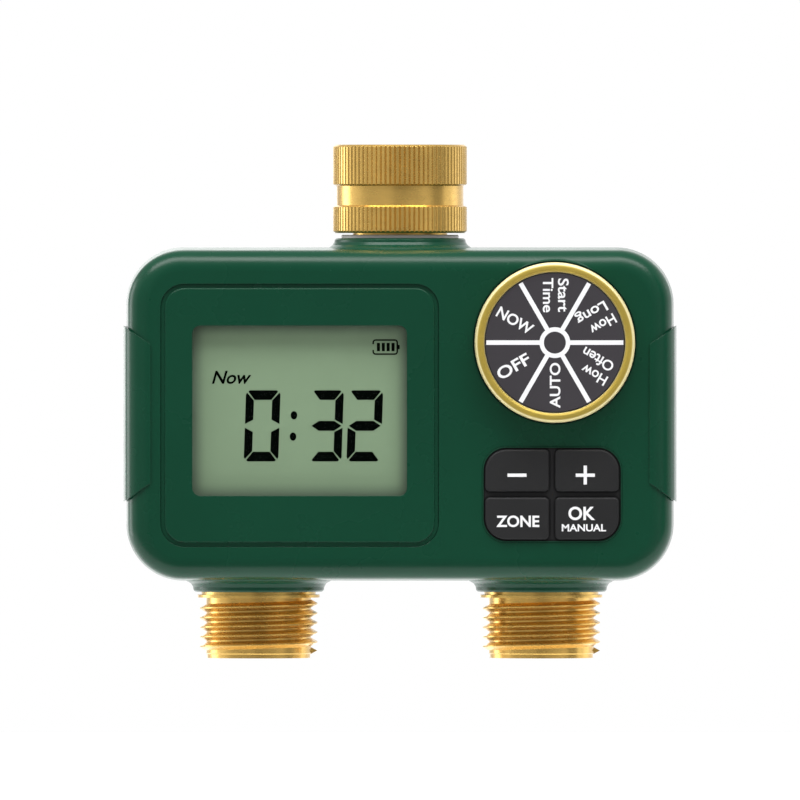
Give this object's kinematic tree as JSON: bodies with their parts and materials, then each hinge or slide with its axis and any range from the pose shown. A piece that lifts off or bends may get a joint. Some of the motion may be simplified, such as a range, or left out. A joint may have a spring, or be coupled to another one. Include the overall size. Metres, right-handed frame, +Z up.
{
  "type": "drip irrigation timer",
  "caption": "Battery watering timer for a hose tap: swivel inlet nut, rotary dial, keypad, display, internal solenoid valves and threaded hose outlets.",
  "frame": {"origin": "centre of the inlet hose washer's sealing face, on the axis of the swivel nut", "axes": "+Z up along the inlet axis towards the tap, -Y out of the front face with the display and dial, +X towards the dial side"},
  "size_m": [0.1278, 0.0663, 0.1185],
  "materials": {
    "case_green": "fine moulded texture, semi-matt",
    "door_green": "fine moulded texture, semi-matt",
    "inner_plastic": "moulded, matt black",
    "water_plastic": "moulded, natural white, satin",
    "brass": "machined, satin",
    "dial_brass": "turned, satin",
    "grey_ring": "smooth, satin",
    "rubber": "matt",
    "key_rubber": "fine matt",
    "web_rubber": "fine matt",
    "dial_black": "fine matt",
    "lens_clear": "clear, gloss",
    "lcd": "sage green reflective display",
    "board": "solder-masked board",
    "chips": "moulded black",
    "steel": "plated, satin",
    "stainless": "polished stainless",
    "coil": "taped copper winding",
    "cell_wrap": "printed sleeve, plain",
    "contact_gold": "plated"
  },
  "bodies": {
    "housing": {"front_shell": "case_green", "rear_shell": "case_green", "housing_gasket": "rubber", "housing_screws": "steel", "inlet_stem": "brass", "inlet_trim_washer": "grey_ring", "inlet_hose_washer": "rubber", "inlet_filter_screen": "stainless", "inlet_o_ring": "rubber", "outlet_nipple_left": "brass", "outlet_nipple_right": "brass", "outlet_o_rings": "rubber", "manifold": "water_plastic", "bonnet_screws": "steel", "display_bezel": "case_green", "display_lens": "lens_clear", "lcd_glass": "lcd", "lcd_holder": "inner_plastic", "zebra_strips": "rubber", "main_pcb": "board", "pcb_components": "chips", "pcb_screws": "steel", "rotary_switch_base": "board", "dial_seal": "rubber", "keypad_frame": "web_rubber", "battery_box": "inner_plastic", "battery_cells": "cell_wrap", "battery_contacts": "steel", "door_hinge_pin": "stainless", "valve_bonnet_left": "water_plastic", "diaphragm_left": "rubber", "diaphragm_spring_left": "stainless", "core_tube_left": "stainless", "plunger_spring_left": "stainless", "solenoid_coil_left": "coil", "solenoid_frame_left": "steel", "valve_bonnet_right": "water_plastic", "diaphragm_right": "rubber", "diaphragm_spring_right": "stainless", "core_tube_right": "stainless", "plunger_spring_right": "stainless", "solenoid_coil_right": "coil", "solenoid_frame_right": "steel"},
    "swivel": {"inlet_swivel_nut": "brass"},
    "dial": {"dial_knob": "dial_black", "dial_trim_ring": "dial_brass", "dial_face": "dial_black", "dial_contact_disc": "contact_gold"},
    "key_minus": {"button_minus": "key_rubber"},
    "key_plus": {"button_plus": "key_rubber"},
    "key_zone": {"button_zone": "key_rubber"},
    "key_ok": {"button_ok": "key_rubber"},
    "armature_left": {"plunger_left": "stainless"},
    "armature_right": {"plunger_right": "stainless"},
    "poppet_left": {"valve_poppet_left": "water_plastic"},
    "poppet_right": {"valve_poppet_right": "water_plastic"},
    "door": {"battery_door": "door_green", "battery_door_gasket": "rubber"}
  },
  "joints": [
    {"name": "inlet_swivel", "type": "hinge", "parent": "housing", "child": "swivel", "pos_m": [0, 0, 0], "axis": [0, 0, 1], "continuous": true},
    {"name": "dial_turn", "type": "hinge", "parent": "housing", "child": "dial", "pos_m": [0.0356, -0.0305, -0.0352], "axis": [0, 1, 0], "continuous": true},
    {"name": "press_minus", "type": "slide", "parent": "housing", "child": "key_minus", "axis": [0, 1, 0], "range_m": [0, 0.0008], "stiffness_N_per_m": 1200},
    {"name": "press_plus", "type": "slide", "parent": "housing", "child": "key_plus", "axis": [0, 1, 0], "range_m": [0, 0.0008], "stiffness_N_per_m": 1200},
    {"name": "press_zone", "type": "slide", "parent": "housing", "child": "key_zone", "axis": [0, 1, 0], "range_m": [0, 0.0008], "stiffness_N_per_m": 1200},
    {"name": "press_ok", "type": "slide", "parent": "housing", "child": "key_ok", "axis": [0, 1, 0], "range_m": [0, 0.0008], "stiffness_N_per_m": 1200},
    {"name": "plunger_lift_left", "type": "slide", "parent": "housing", "child": "armature_left", "axis": [0, 0, 1], "range_m": [0, 0.002], "stiffness_N_per_m": 150, "deforming": ["plunger_spring_left"]},
    {"name": "poppet_lift_left", "type": "slide", "parent": "housing", "child": "poppet_left", "axis": [0, 0, 1], "range_m": [0, 0.0025], "stiffness_N_per_m": 150, "deforming": ["diaphragm_spring_left", "diaphragm_left"]},
    {"name": "plunger_lift_right", "type": "slide", "parent": "housing", "child": "armature_right", "axis": [0, 0, 1], "range_m": [0, 0.002], "stiffness_N_per_m": 150, "deforming": ["plunger_spring_right"]},
    {"name": "poppet_lift_right", "type": "slide", "parent": "housing", "child": "poppet_right", "axis": [0, 0, 1], "range_m": [0, 0.0025], "stiffness_N_per_m": 150, "deforming": ["diaphragm_spring_right", "diaphragm_right"]},
    {"name": "battery_door_hinge", "type": "hinge", "parent": "housing", "child": "door", "pos_m": [0, 0.0334, -0.035], "axis": [1, 0, 0], "range_deg": [0, 100]}
  ],
  "couplings": [
    {"joint": "poppet_lift_left", "follows": "plunger_lift_left", "ratio": 1.25},
    {"joint": "poppet_lift_right", "follows": "plunger_lift_right", "ratio": 1.25}
  ]
}
